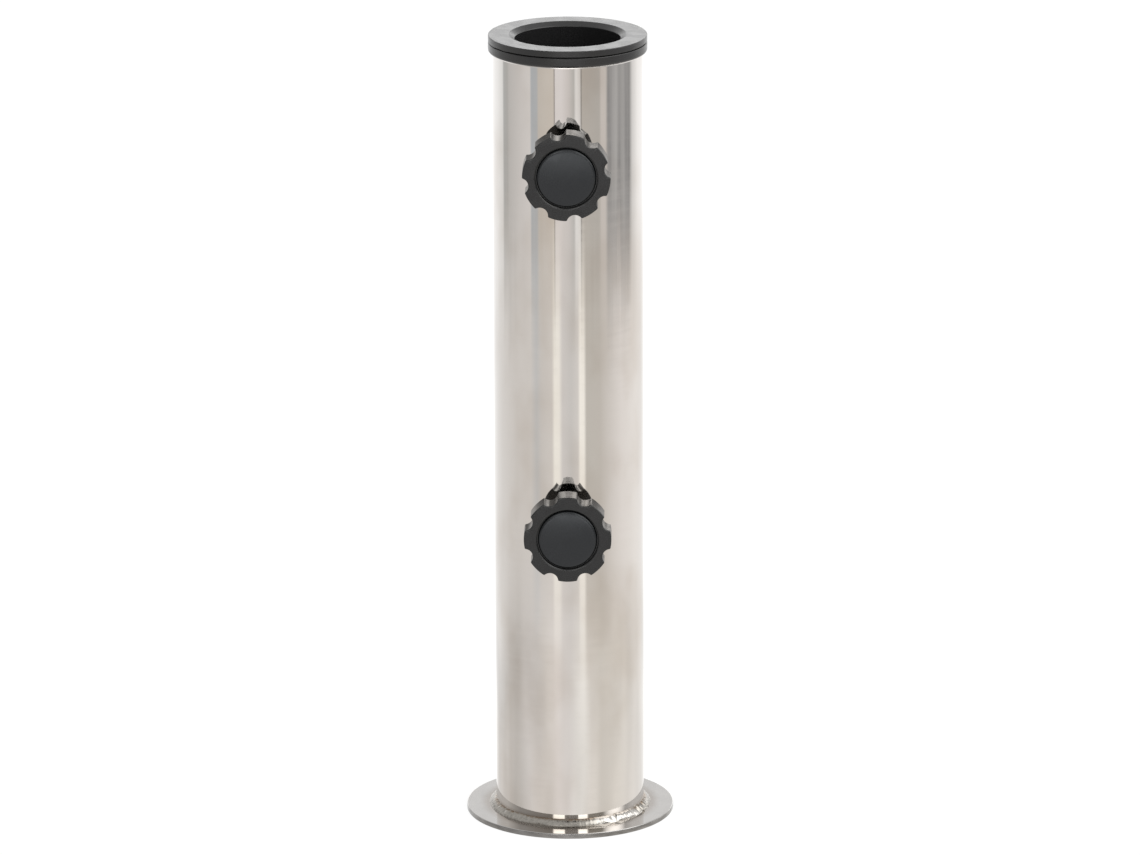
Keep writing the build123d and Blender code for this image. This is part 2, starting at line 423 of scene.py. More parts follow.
def node(tree, kind, inputs=None, **settings):
    """A shader node: settings are its own options, and inputs are values or sockets."""
    made = tree.nodes.new("ShaderNode" + kind)
    for key, value in settings.items():
        setattr(made, key, value)
    feed(tree, made, inputs or {})
    return made


def calc(tree, operation, a, b=0.0, c=0.0, clamp=False):
    """The result of a Math node."""
    made = node(tree, "Math", {0: a, 1: b, 2: c}, operation=operation, use_clamp=clamp)
    return made.outputs[0]


def span(tree, value, from_low, from_high, to_low=0.0, to_high=1.0):
    """A value moved smoothly from one range to another, held at its ends."""
    inputs = {"Value": value, "From Min": from_low, "From Max": from_high, "To Min": to_low,
              "To Max": to_high}
    return node(tree, "MapRange", inputs, interpolation_type="SMOOTHSTEP").outputs["Result"]


def blend(tree, factor, a, b, mode="MIX"):
    """Two colours mixed."""
    made = node(tree, "Mix", {"Factor": factor}, data_type="RGBA", blend_type=mode)
    for key, value in ((6, a), (7, b)):
        feed(tree, made, {key: (*value, 1.0) if isinstance(value, tuple) else value})
    return made.outputs[2]


def noise(tree, vector, scale, detail=2.0, roughness=0.5):
    """The value of a noise texture."""
    inputs = {"Vector": vector, "Scale": scale, "Detail": detail, "Roughness": roughness}
    return node(tree, "TexNoise", inputs).outputs["Fac"]


def stretched(tree, vector, stretch):
    """Coordinates scaled differently along each axis."""
    return node(tree, "Mapping", {"Vector": vector, "Scale": stretch}).outputs["Vector"]


def object_coordinates(tree):
    """The object's own coordinates, in metres."""
    return node(tree, "TexCoord").outputs["Object"]


def distance_from_axis(tree, coordinates):
    """How far a point lies from the z axis."""
    axes = node(tree, "SeparateXYZ", {"Vector": coordinates}).outputs
    flat = node(tree, "CombineXYZ", {"X": axes["X"], "Y": axes["Y"]}).outputs["Vector"]
    return node(tree, "VectorMath", {0: flat}, operation="LENGTH").outputs["Value"]


def effect(name, inputs, outputs):
    """An empty node group with named sockets: its tree, what it is given, and the node for what it gives."""
    tree = bpy.data.node_groups.new(name, "ShaderNodeTree")
    for label, kind, default in inputs:
        socket = tree.interface.new_socket(label, in_out="INPUT", socket_type="NodeSocket" + kind)
        if default is not None:
            socket.default_value = default
    for label, kind in outputs:
        tree.interface.new_socket(label, in_out="OUTPUT", socket_type="NodeSocket" + kind)
    return tree, tree.nodes.new("NodeGroupInput").outputs, tree.nodes.new("NodeGroupOutput")


def use_effect(tree, name, inputs):
    """A shared effect placed in a material with its own values, made on first use."""
    if name not in bpy.data.node_groups:
        EFFECTS[name]()
    made = tree.nodes.new("ShaderNodeGroup")
    made.node_tree = bpy.data.node_groups[name]
    feed(tree, made, inputs)
    return made.outputs


def polish_marks_effect():
    """Fine lines left by polishing: noise drawn out along one direction, at two sizes."""
    tree, given, gives = effect(
        "polish_marks",
        (("Coordinates", "Vector", None), ("Fine", "Float", 900.0), ("Coarse", "Float", 120.0)),
        (("Height", "Float"), ("Haze", "Float")),
    )
    fine = noise(tree, given["Coordinates"], given["Fine"], 4.0, 0.6)
    coarse = noise(tree, given["Coordinates"], given["Coarse"], 3.0, 0.55)
    height = calc(tree, "MULTIPLY_ADD", coarse, 0.45, fine)
    feed(tree, gives, {"Height": height, "Haze": span(tree, coarse, 0.35, 0.7)})


def moulded_grain_effect():
    """The fine bumps of moulded plastic with faint broad unevenness, and a mask for its shinier patches."""
    tree, given, gives = effect(
        "moulded_grain",
        (("Coordinates", "Vector", None), ("Grain", "Float", 3500.0), ("Broad", "Float", 160.0)),
        (("Height", "Float"), ("Patches", "Float")),
    )
    cells = {"Vector": given["Coordinates"], "Scale": given["Grain"]}
    grain = node(tree, "TexVoronoi", cells, feature="SMOOTH_F1").outputs["Distance"]
    broad = noise(tree, given["Coordinates"], given["Broad"], 3.0, 0.5)
    height = calc(tree, "MULTIPLY_ADD", broad, 0.6, grain)
    feed(tree, gives, {"Height": height, "Patches": span(tree, broad, 0.35, 0.65)})


def edge_wear_effect():
    """Where edges are rubbed: high pointiness, broken up by noise."""
    tree, given, gives = effect(
        "edge_wear",
        (("Coordinates", "Vector", None), ("From", "Float", 0.52), ("To", "Float", 0.60),
         ("Amount", "Float", 0.5)),
        (("Mask", "Float"),),
    )
    corner = node(tree, "NewGeometry").outputs["Pointiness"]
    edge = span(tree, corner, given["From"], given["To"])
    broken = span(tree, noise(tree, given["Coordinates"], 900.0, 3.0, 0.6), 0.35, 0.6)
    mask = calc(tree, "MULTIPLY", calc(tree, "MULTIPLY", edge, broken), given["Amount"], clamp=True)
    feed(tree, gives, {"Mask": mask})


def dust_effect():
    """Specks of dust: sparse cells of noise, more of them on faces that look up."""
    tree, given, gives = effect(
        "dust",
        (("Coordinates", "Vector", None), ("Scale", "Float", 700.0), ("Amount", "Float", 0.4)),
        (("Mask", "Float"),),
    )
    facing = node(tree, "SeparateXYZ", {"Vector": node(tree, "NewGeometry").outputs["Normal"]}).outputs["Z"]
    up = span(tree, facing, 0.1, 0.9, 0.25, 1.0)
    specks = span(tree, noise(tree, given["Coordinates"], given["Scale"], 4.0, 0.7), 0.62, 0.74)
    mask = calc(tree, "MULTIPLY", calc(tree, "MULTIPLY", specks, up), given["Amount"], clamp=True)
    feed(tree, gives, {"Mask": mask})


def heat_tint_effect():
    """The tint that welding leaves: a ragged band round a ring about the Z axis, near the plate."""
    tree, given, gives = effect(
        "heat_tint",
        (("Coordinates", "Vector", None), ("Radius", "Float", 0.03), ("Reach", "Float", 0.003),
         ("Height", "Float", 0.006)),
        (("Mask", "Float"),),
    )
    at = given["Coordinates"]
    axes = node(tree, "SeparateXYZ", {"Vector": at}).outputs
    ragged = calc(tree, "MULTIPLY_ADD", noise(tree, at, 260.0, 3.0, 0.6), 0.0022, -0.0011)
    off = calc(tree, "SUBTRACT", distance_from_axis(tree, at), given["Radius"])
    off = calc(tree, "ABSOLUTE", calc(tree, "ADD", off, ragged))
    near = span(tree, calc(tree, "DIVIDE", off, given["Reach"]), 1.0, 0.0)
    low_down = span(tree, calc(tree, "DIVIDE", axes["Z"], given["Height"]), 1.0, 0.5)
    feed(tree, gives, {"Mask": calc(tree, "MULTIPLY", near, low_down)})


EFFECTS = {
    "polish_marks": polish_marks_effect,
    "moulded_grain": moulded_grain_effect,
    "edge_wear": edge_wear_effect,
    "dust": dust_effect,
    "heat_tint": heat_tint_effect,
}


# --- Finishes ---

def finish(name, make):
    """A material by name: made once by its function, which gets the node tree and its Principled shader."""
    if name in bpy.data.materials:
        return bpy.data.materials[name]
    material = bpy.data.materials.new(name)
    material.use_nodes = True
    tree = material.node_tree
    tree.nodes.clear()
    shader = node(tree, "BsdfPrincipled")
    output = tree.nodes.new("ShaderNodeOutputMaterial")
    tree.links.new(shader.outputs["BSDF"], output.inputs["Surface"])
    make(tree, shader)
    return material


def bump(tree, shader, height, distance, strength=1.0):
    """Relief on a shader from a height, whose full scale is the distance in metres."""
    relief = node(tree, "Bump", {"Height": height, "Distance": distance, "Strength": strength})
    tree.links.new(relief.outputs["Normal"], shader.inputs["Normal"])


def tube_steel():
    """Polished tube: mirror-like, with lines from polishing round it, weld tint, and soft warm cloudy patches
    painted into its colour as the table's blurred reflection.
    """
    def make(tree, shader):
        at = object_coordinates(tree)
        lines = use_effect(tree, "polish_marks", {
            "Coordinates": stretched(tree, at, (0.10, 0.10, 1.0)), "Fine": 2600.0, "Coarse": 420.0})
        # The warm cloudy patches are painted reflection: lighter and darker tones in the colour stand in for
        # the table's blurred reflection.
        clouds = noise(tree, stretched(tree, at, (1.0, 1.0, 0.55)), 38.0, 3.0, 0.5)
        painted_table_reflection = blend(tree, span(tree, clouds, 0.35, 0.60), (0.89, 0.865, 0.84), (1.0, 1.0, 1.0))
        base = blend(tree, 1.0, shade("steel"), painted_table_reflection, "MULTIPLY")
        tint = use_effect(tree, "heat_tint", {
            "Coordinates": at, "Radius": TUBE_R, "Reach": 0.004, "Height": 0.0055})["Mask"]
        base = blend(tree, calc(tree, "MULTIPLY", tint, 0.5), base, shade("tint"))
        rough = calc(tree, "MULTIPLY_ADD", lines["Haze"], 0.03, 0.035)
        rough = calc(tree, "MULTIPLY_ADD", tint, 0.03, rough)
        feed(tree, shader, {"Base Color": base, "Metallic": 1.0, "Roughness": rough})
        bump(tree, shader, lines["Height"], 0.0000001)
    return finish("tube_steel", make)


def plate_steel():
    """Polished sheet: fine scratches, tint beside the weld, and a duller cut edge whose darker colour is
    painted shade for the rim's reflection of the near table.
    """
    def make(tree, shader):
        at = object_coordinates(tree)
        lines = use_effect(tree, "polish_marks", {
            "Coordinates": stretched(tree, at, (1.0, 0.08, 0.3)), "Fine": 1500.0, "Coarse": 260.0})
        tint = use_effect(tree, "heat_tint", {
            "Coordinates": at, "Radius": TUBE_R + 0.0025, "Reach": 0.0045, "Height": 0.02})["Mask"]
        clouds = span(tree, noise(tree, at, 90.0, 3.0, 0.55), 0.3, 0.7)
        base = blend(tree, clouds, shade("plate", 0.93), shade("plate"))
        base = blend(tree, calc(tree, "MULTIPLY", tint, 0.4), base, shade("tint"))
        radius = distance_from_axis(tree, at)
        # Cut edge: its extra roughness is the duller sheared steel; its darker colour is painted shade,
        # standing in for the rim's reflection of the near table.
        cut = span(tree, radius, PLATE_R - 0.16 * MM, PLATE_R - 0.06 * MM)
        streaks = span(tree, noise(tree, stretched(tree, at, (1.0, 1.0, 4.0)), 160.0, 3.0, 0.6), 0.35, 0.65)
        cut = calc(tree, "MULTIPLY", cut, calc(tree, "MULTIPLY_ADD", streaks, 0.35, 0.55))
        base = blend(tree, cut, base, shade("plate", 0.42))
        rough = calc(tree, "MULTIPLY_ADD", lines["Haze"], 0.03, 0.03)
        rough = calc(tree, "MULTIPLY_ADD", tint, 0.02, rough)
        rough = calc(tree, "MULTIPLY_ADD", cut, 0.25, rough)
        feed(tree, shader, {"Base Color": base, "Metallic": 1.0, "Roughness": rough})
        bump(tree, shader, lines["Height"], 0.0000002)
    return finish("plate_steel", make)


def weld_steel():
    """Weld metal: dull specks, brown tint where it meets the tube, and a lighter colour towards the front
    right.
    """
    def make(tree, shader):
        at = object_coordinates(tree)
        specks = noise(tree, at, 900.0, 4.0, 0.65)
        base = blend(tree, span(tree, specks, 0.3, 0.6), shade("weld", 0.72), shade("weld"))
        edge = use_effect(tree, "heat_tint", {
            "Coordinates": at, "Radius": TUBE_R + 0.0001, "Reach": 0.0013, "Height": 0.02})["Mask"]
        broken = span(tree, noise(tree, at, 520.0, 3.0, 0.6), 0.36, 0.56)
        base = blend(tree, calc(tree, "MULTIPLY", edge, broken), base, shade("tint"))
        axes = node(tree, "SeparateXYZ", {"Vector": at}).outputs
        right, front = span(tree, axes["X"], 0.008, 0.013), span(tree, axes["Y"], -0.012, -0.017)
        lighter_front_right = calc(tree, "MULTIPLY", right, front)
        # Lighter colour towards the front right of the bead.
        base = blend(tree, calc(tree, "MULTIPLY", lighter_front_right, 0.6), base, (0.62, 0.60, 0.57))
        rough = span(tree, specks, 0.3, 0.7, 0.12, 0.30)
        feed(tree, shader, {"Base Color": base, "Metallic": 1.0, "Roughness": rough})
        bump(tree, shader, specks, 0.000004)
    return finish("weld_steel", make)


def hardware_steel():
    """Plain turned steel for nuts and screws."""
    def make(tree, shader):
        at = object_coordinates(tree)
        lines = use_effect(tree, "polish_marks", {"Coordinates": at, "Fine": 1800.0, "Coarse": 320.0})
        wear = use_effect(tree, "edge_wear", {"Coordinates": at, "Amount": 0.5})["Mask"]
        base = blend(tree, lines["Haze"], shade("hardware", 0.85), shade("hardware"))
        base = blend(tree, wear, base, (0.8, 0.8, 0.79))
        rough = calc(tree, "MULTIPLY_ADD", lines["Haze"], 0.12, 0.24)
        feed(tree, shader, {"Base Color": base, "Metallic": 1.0, "Roughness": rough})
        bump(tree, shader, lines["Height"], 0.000006)
    return finish("hardware_steel", make)


def black_plastic(name, key, low_rough, high_rough, grain, depth, wear_amount, dust_amount, tint):
    """Moulded black plastic: fine grain, shinier patches, rubbed edges, a little dust and a tinted shine."""
    def make(tree, shader):
        at = object_coordinates(tree)
        skin = use_effect(tree, "moulded_grain", {"Coordinates": at, "Grain": grain, "Broad": 180.0})
        wear = use_effect(tree, "edge_wear", {"Coordinates": at, "Amount": wear_amount})["Mask"]
        dust = use_effect(tree, "dust", {"Coordinates": at, "Amount": dust_amount})["Mask"]
        base = blend(tree, skin["Patches"], shade(key, 0.86), shade(key))
        base = blend(tree, wear, base, shade(key, 2.6))
        base = blend(tree, dust, base, (0.30, 0.29, 0.27))
        rough = span(tree, skin["Patches"], 0.0, 1.0, high_rough, low_rough)
        rough = calc(tree, "MULTIPLY_ADD", dust, 0.3, rough)
        feed(tree, shader, {"Base Color": base, "Specular Tint": tint, "Roughness": rough})
        bump(tree, shader, skin["Height"], depth)
    return finish(name, make)


def nylon():
    """Natural nylon: pale, waxy, slightly translucent."""
    def make(tree, shader):
        at = object_coordinates(tree)
        skin = use_effect(tree, "moulded_grain", {"Coordinates": at, "Grain": 2500.0, "Broad": 300.0})
        base = blend(tree, skin["Patches"], shade("nylon", 0.94), shade("nylon"))
        rough = span(tree, skin["Patches"], 0.0, 1.0, 0.5, 0.36)
        feed(tree, shader, {"Base Color": base, "Subsurface Weight": 0.2, "Subsurface Scale": 0.002,
                            "Roughness": rough})
        bump(tree, shader, skin["Height"], 0.000012)
    return finish("tip_nylon", make)


def bush_plastic():
    """The bushes' smooth moulded plastic."""
    return black_plastic("bush_moulding", "bush", 0.24, 0.27, 4200.0, 0.0000006, 0.25, 0.04,
                         (1.0, 0.99, 0.975, 1.0))


def knob_plastic():
    """The knobs' finely grained plastic."""
    return black_plastic("knob_moulding", "knob", 0.19, 0.26, 3600.0, 0.0000025, 0.35, 0.12,
                         (1.0, 0.995, 0.985, 1.0))


def cap_plastic():
    """The caps' satin plastic."""
    return black_plastic("cap_moulding", "cap", 0.20, 0.25, 4600.0, 0.0000012, 0.2, 0.08,
                         (0.93, 0.97, 1.0, 1.0))


# --- Pieces ---

class HOLDER_OT_tube(bpy.types.Operator):
    """Make the polished tube: an outer and an inner wall joined at both ends, bored for the clamp screws"""

    bl_idname = "holder.tube"
    bl_label = "Tube"

    def execute(self, context):
        """A rounded wall section goes round the axis; a round cutter then bores each screw hole."""
        wall = sizes().tube_wall
        edge = wall * 0.25
        rows = 24
        inner = TUBE_R - wall
        section = rounded(
            ((inner, TUBE_FOOT, edge), (TUBE_R, TUBE_FOOT, edge), (TUBE_R, TUBE_TOP, edge),
             (inner, TUBE_TOP, edge)), 3
        )
        levels = np.linspace(TUBE_FOOT + 2 * edge, TUBE_TOP - 2 * edge, rows)
        order = np.concatenate((
            section[section[:, 1] < TUBE_FOOT + 2 * edge],
            np.column_stack((np.full(rows, TUBE_R), levels)),
            section[section[:, 1] > TUBE_TOP - 2 * edge],
            np.column_stack((np.full(rows, inner), levels[::-1])),
        ))
        grid = lathe(order, sizes().segments)
        piece = make_piece("tube_body", [(grid, True)], tube_steel(), STAND, "tube")
        self.bore(piece)
        return {"FINISHED"}

    @staticmethod
    def bore(piece):
        """Cut the two screw holes with round cutters, and keep the result in the mesh."""
        start, end = 20 * MM, 35 * MM
        section = np.array(((0, start), (TUBE_HOLE_R, start), (TUBE_HOLE_R, end), (0, end)))
        cutters = []
        for name in CLAMPS:
            grid = at_clamp(lathe(section, 64), name)
            cutter = in_scene(name + "_cutter", make_mesh(name + "_cutter", [(grid, False)]))
            cut = piece.modifiers.new("bore", "BOOLEAN")
            cut.operation = "DIFFERENCE"
            cut.solver = "EXACT"
            cut.object = cutter
            cutters.append(cutter)
        graph = bpy.context.evaluated_depsgraph_get()
        result = bpy.data.meshes.new_from_object(piece.evaluated_get(graph))
        piece.modifiers.clear()
        old = piece.data
        piece.data = result
        bpy.data.meshes.remove(old)
        for cutter in cutters:
            bpy.data.meshes.remove(cutter.data)
        smooth(result, SHARP)


class HOLDER_OT_base_plate(bpy.types.Operator):
    """Make the foot plate: a disc with eased edges and a hole for the base nut's pilot"""

    bl_idname = "holder.base_plate"
    bl_label = "Foot plate"

    def execute(self, context):
        """A rounded flat section goes round the axis, and its rim wanders by a few hundredths."""
        edge = sizes().plate_edge
        section = rounded(((PLATE_HOLE_R, 0, 0), (PLATE_R, 0, edge), (PLATE_R, PLATE_T, edge),
                           (PLATE_HOLE_R, PLATE_T, 0)), 4)
        grid = lathe(section, 360)
        wander = 1 + 0.0006 * waves(turn(360), np.random.default_rng(5), (2, 3, 5, 9, 17, 40), 0.7)
        rim = (section[:, 0] / PLATE_R)[None] ** 6
        grid[..., :2] *= np.minimum(1 + (wander[:, None, None] - 1) * rim[..., None], 1.0)
        make_piece("base_plate_disc", [(grid, True)], plate_steel(), STAND, "base_plate")
        return {"FINISHED"}


# Lumps and pits of the foot weld: degrees round the tube, half width in degrees, height in millimetres
WELD_LUMPS = (
    (-63, 3.5, 0.35), (-56, 2.2, -0.3), (-47, 5, 0.4), (-38, 4, 0.3), (-29, 2, -0.3), (-23, 2, 0.4),
    (-17, 1.6, -0.3), (-112, 3, 0.12), (-128, 2, -0.12), (-143, 2.6, 0.2), (60, 3, 0.3), (95, 2.4, 0.4),
    (110, 2.2, -0.3), (150, 3, 0.3),
)


class HOLDER_OT_base_weld(bpy.types.Operator):
    """Make the weld round the foot of the tube: a rippled, uneven bead with lumps"""

    bl_idname = "holder.base_weld"
    bl_label = "Foot weld"

    def execute(self, context):
        """Round the tube runs a section that is half straight fillet and half quarter circle, from the tube
        down to the plate. Its legs wander with random waves, ripples slant across it, and a few humps and
        pits stand where the weld was started and stopped."""
        rng = np.random.default_rng(11)
        count, across = 1440, 15
        u = turn(count)
        v = np.linspace(0, 1, across)[None]
        slow = waves(u, rng, (2, 3, 5, 7, 11, 17), 0.6)
        jagged = waves(u, rng, (31, 43, 59, 71, 97, 131, 173), 0.35)
        rough = (0.2 + 1.2 * hump(u, -24, 12) + 0.9 * hump(u, -52, 8) + 0.35 * hump(u, -150, 20)
                 + 0.8 * hump(u, 95, 40))
        leg = sizes().weld_leg * (0.95 + 0.04 * slow + 0.04 * jagged * rough)
        height = sizes().weld_height * (0.96 + 0.06 * slow[::-1] + 0.07 * jagged[::-1] * rough)
        quarter = np.pi / 2 * v
        full = 0.50
        radial = full * np.sin(quarter) + (1 - full) * v
        rise = full * np.cos(quarter) + (1 - full) * (1 - v)
        ripples = round(2 * np.pi * TUBE_R / sizes().weld_ripple)
        phase = ripples * u + 2.4 * waves(u, rng, (3, 5, 8, 13), 0.5)
        scallop = np.abs(np.sin((phase[:, None] + 2.2 * np.sin(np.pi * v)) / 2))
        depth = (0.03 * MM) * (0.1 + rough[:, None]) * np.sin(np.pi * v) ** 0.7
        lumps = sum(size * MM * hump(u, centre, width) for centre, width, size in WELD_LUMPS)
        stand = (scallop - 0.5) * depth + lumps[:, None] * np.sin(np.pi * v)
        lean_r, lean_z = np.sin(quarter), np.cos(quarter)
        r = TUBE_R + leg[:, None] * radial + stand * lean_r
        z = PLATE_T + height[:, None] * rise + stand * lean_z
        inside, under = TUBE_R - 0.3 * MM, PLATE_T - 0.3 * MM
        bands = ((inside, z[:, :1]), (r, z), (inside + leg[:, None], under), (inside, under))
        grid = rings(u[:, None], bands)
        make_piece("base_weld_bead", [(grid, True)], weld_steel(), STAND, "base_weld",
                   WELD_SHARP)
        return {"FINISHED"}


class HOLDER_OT_nut_welds(bpy.types.Operator):
    """Make the weld round each clamp nut, laid on the tube's curve"""

    bl_idname = "holder.nut_welds"
    bl_label = "Nut welds"

    def execute(self, context):
        """Each ring point goes from the nut's side, at the weld's height, to the tube's surface at the weld's
        reach; between them it is half straight and half quarter circle. Ripples follow the angle."""
        for seed, name in enumerate(CLAMPS):
            rng = np.random.default_rng(20 + seed)
            count, across = 360, 11
            u = turn(count)[:, None]
            v = np.linspace(0, 1, across)[None]
            uneven = waves(u[:, 0], rng, (2, 3, 5, 7, 13, 23), 0.4)[:, None]
            start = np.minimum(hexagon(u, NUT_FLATS) - 0.15 * MM, 7.55 * MM)
            reach = NUT_WELD_R + 0.35 * MM * uneven
            quarter = np.pi / 2 * v
            radial = 0.55 * np.sin(quarter) + 0.45 * v
            rise = 0.55 * np.cos(quarter) + 0.45 * (1 - v)
            scallop = 0.1 * MM * np.abs(np.sin(17 * u + 1.5 * np.sin(np.pi * v) + uneven)) * np.sin(np.pi * v)
            r = start + (reach - start) * radial + scallop
            toe = np.sqrt(TUBE_R**2 - (reach * np.cos(u)) ** 2) - 0.05 * MM
            brim = NUT_WELD_TOP + 0.12 * MM * uneven
            z = toe + (brim - toe) * rise + scallop
            under = toe - 0.5 * MM
            grid = at_clamp(rings(u, ((r, z), (reach - 0.5 * MM, under), (start - 0.4 * MM, under))), name)
            make_piece(name + "_nut_bead", [(grid, True)], weld_steel(), STAND,
                       name + "_nut_weld", WELD_SHARP)
        return {"FINISHED"}


class HOLDER_OT_clamp_nuts(bpy.types.Operator):
    """Make the hexagonal clamp nuts: chamfered crown, foot ground to the tube, and a cut thread"""

    bl_idname = "holder.clamp_nuts"
    bl_label = "Clamp nuts"

    def execute(self, context):
        """Rings from the foot, which follows the tube's circle, up the hexagon, in over a cone-cut crown, and
        down the threaded bore, whose radius is the thread's clipped wave."""
        pitch = sizes().thread_pitch
        for name in CLAMPS:
            u = turn(144)[:, None]
            hexa, face, drop = chamfered(u, NUT_FLATS)
            foot = np.sqrt(TUBE_R**2 - (hexa * np.cos(u)) ** 2) - 0.02 * MM
            heights = np.linspace(NUT_FACE - 0.02 * MM, TUBE_R + 0.1 * MM, 60)[None]
            bore = thread(u, heights, pitch, *NUT_THREAD)
            lead_in = np.maximum(bore, 4.15 * MM - (NUT_FACE - heights))
            bottom = np.sqrt(TUBE_R**2 - (3.9 * MM * np.cos(u)) ** 2) - 0.02 * MM
            grid = rings(u, ((hexa, foot), (hexa, NUT_FACE - drop), (face, NUT_FACE), (4.2 * MM, NUT_FACE),
                             (lead_in, heights), (NUT_THREAD[1], bottom)))
            make_piece(name + "_nut_hex", [(at_clamp(grid, name), True)], hardware_steel(), STAND,
                       name + "_nut")
        return {"FINISHED"}


class HOLDER_OT_base_nut(bpy.types.Operator):
    """Make the base nut: a hexagon on the plate, a round pilot in the plate's hole, and a cut thread"""

    bl_idname = "holder.base_nut"
    bl_label = "Base nut"

    def execute(self, context):
        """Rings up the pilot, out to the hexagon, up and in over the cone-cut crown, and down the thread."""
        u = turn(144)[:, None]
        hexa, face, drop = chamfered(u, BASE_NUT_FLATS)
        heights = np.linspace(BASE_NUT_TOP - 0.02 * MM, 0.02 * MM, 100)[None]
        bore = thread(u, heights, sizes().base_pitch, *BASE_THREAD)
        ends = np.minimum(BASE_NUT_TOP - heights, heights)
        bore = np.maximum(bore, 5.2 * MM - ends)
        lead_in = 5.3 * MM
        grid = rings(u, ((PILOT_R, 0), (PILOT_R, PLATE_T), (hexa, PLATE_T), (hexa, BASE_NUT_TOP - drop),
                         (face, BASE_NUT_TOP), (lead_in, BASE_NUT_TOP), (bore, heights), (lead_in, 0)))
        make_piece("base_nut_hex", [(grid, True)], hardware_steel(), STAND, "base_nut")
        return {"FINISHED"}


class HOLDER_OT_bushes(bpy.types.Operator):
    """Make the two bushes in the tube's mouth: the liner and the ribbed reducer"""

    bl_idname = "holder.bushes"
    bl_label = "Bushes"

    def execute(self, context):
        """Each is a rounded section that goes round the axis; the reducer's ribs are blocks inside the liner.
        A little moulding flash stands on the left of the upper flange, as bells along its edge."""
        s = sizes()
        edge = s.bush_edge
        foot, sleeve = low("outer_bush").z, LINER_SLEEVE_R
        liner = rounded((
            (LINER_BORE_R, foot, 0.2 * MM), (sleeve - 0.6 * MM, foot, 0.2 * MM),
            (sleeve, foot + 1.5 * MM, 0.5 * MM), (sleeve, TUBE_TOP, 0), (FLANGE_R, TUBE_TOP, 1.0 * MM),
            (FLANGE_R, FLANGE_SPLIT, edge), (LINER_BORE_R, FLANGE_SPLIT, 0.2 * MM)))
        body = self.uneven(lathe(liner, 288), 31)
        make_piece("outer_bush_liner", [(body, True)], bush_plastic(), "outer_bush",
                   "outer_bush")
        foot, wall = low("inner_bush").z, REDUCER_WALL_R
        step, above = FLANGE_R - s.groove_depth, FLANGE_SPLIT + s.flange_gap
        reducer = rounded((
            (s.pole_bore_r, foot, 0.3 * MM), (wall, foot, 0.3 * MM), (wall, FLANGE_SPLIT, 0.3 * MM),
            (step, FLANGE_SPLIT, 0.1 * MM), (step, above, 0.1 * MM), (FLANGE_R, above, edge * 0.8),
            (FLANGE_R, MOUTH_TOP, edge), (s.mouth_r, MOUTH_TOP, 0.35 * MM),
            (s.pole_bore_r, MOUTH_TOP - s.mouth_depth, 0.35 * MM)))
        body = self.uneven(lathe(reducer, 288), 32)
        left = hump(turn(288), -162, 9) + 0.6 * hump(turn(288), -141, 4)
        near_edge = np.exp(-(((reducer[:, 1] - above) / (0.5 * MM)) ** 2))
        on_rim = near_edge * (reducer[:, 0] > FLANGE_R - 2 * edge)
        body[..., 2] -= 0.22 * MM * left[:, None] * on_rim[None]
        rib = block((wall - 0.5 * MM, -0.8 * MM, foot + 1 * MM),
                    (REDUCER_RIB_R, 0.8 * MM, FLANGE_SPLIT + 0.1 * MM))
        ribs = [(spun(rib, (index + 0.5) * 2 * math.pi / s.ribs), False) for index in range(s.ribs)]
        parts = [(body, True), *ribs]
        make_piece("inner_bush_reducer", parts, bush_plastic(), "inner_bush", "inner_bush")
        return {"FINISHED"}

    @staticmethod
    def uneven(grid, seed):
        """The slight waviness of a moulded rim: the radius changes by a few hundredths of a millimetre."""
        wave = waves(turn(len(grid)), np.random.default_rng(seed), (2, 3, 4, 7, 12, 30), 1.0)
        scale = 1 - 0.0008 * (1 + 0.5 * wave).clip(0, None)
        grid[..., :2] *= scale[:, None, None]
        return grid


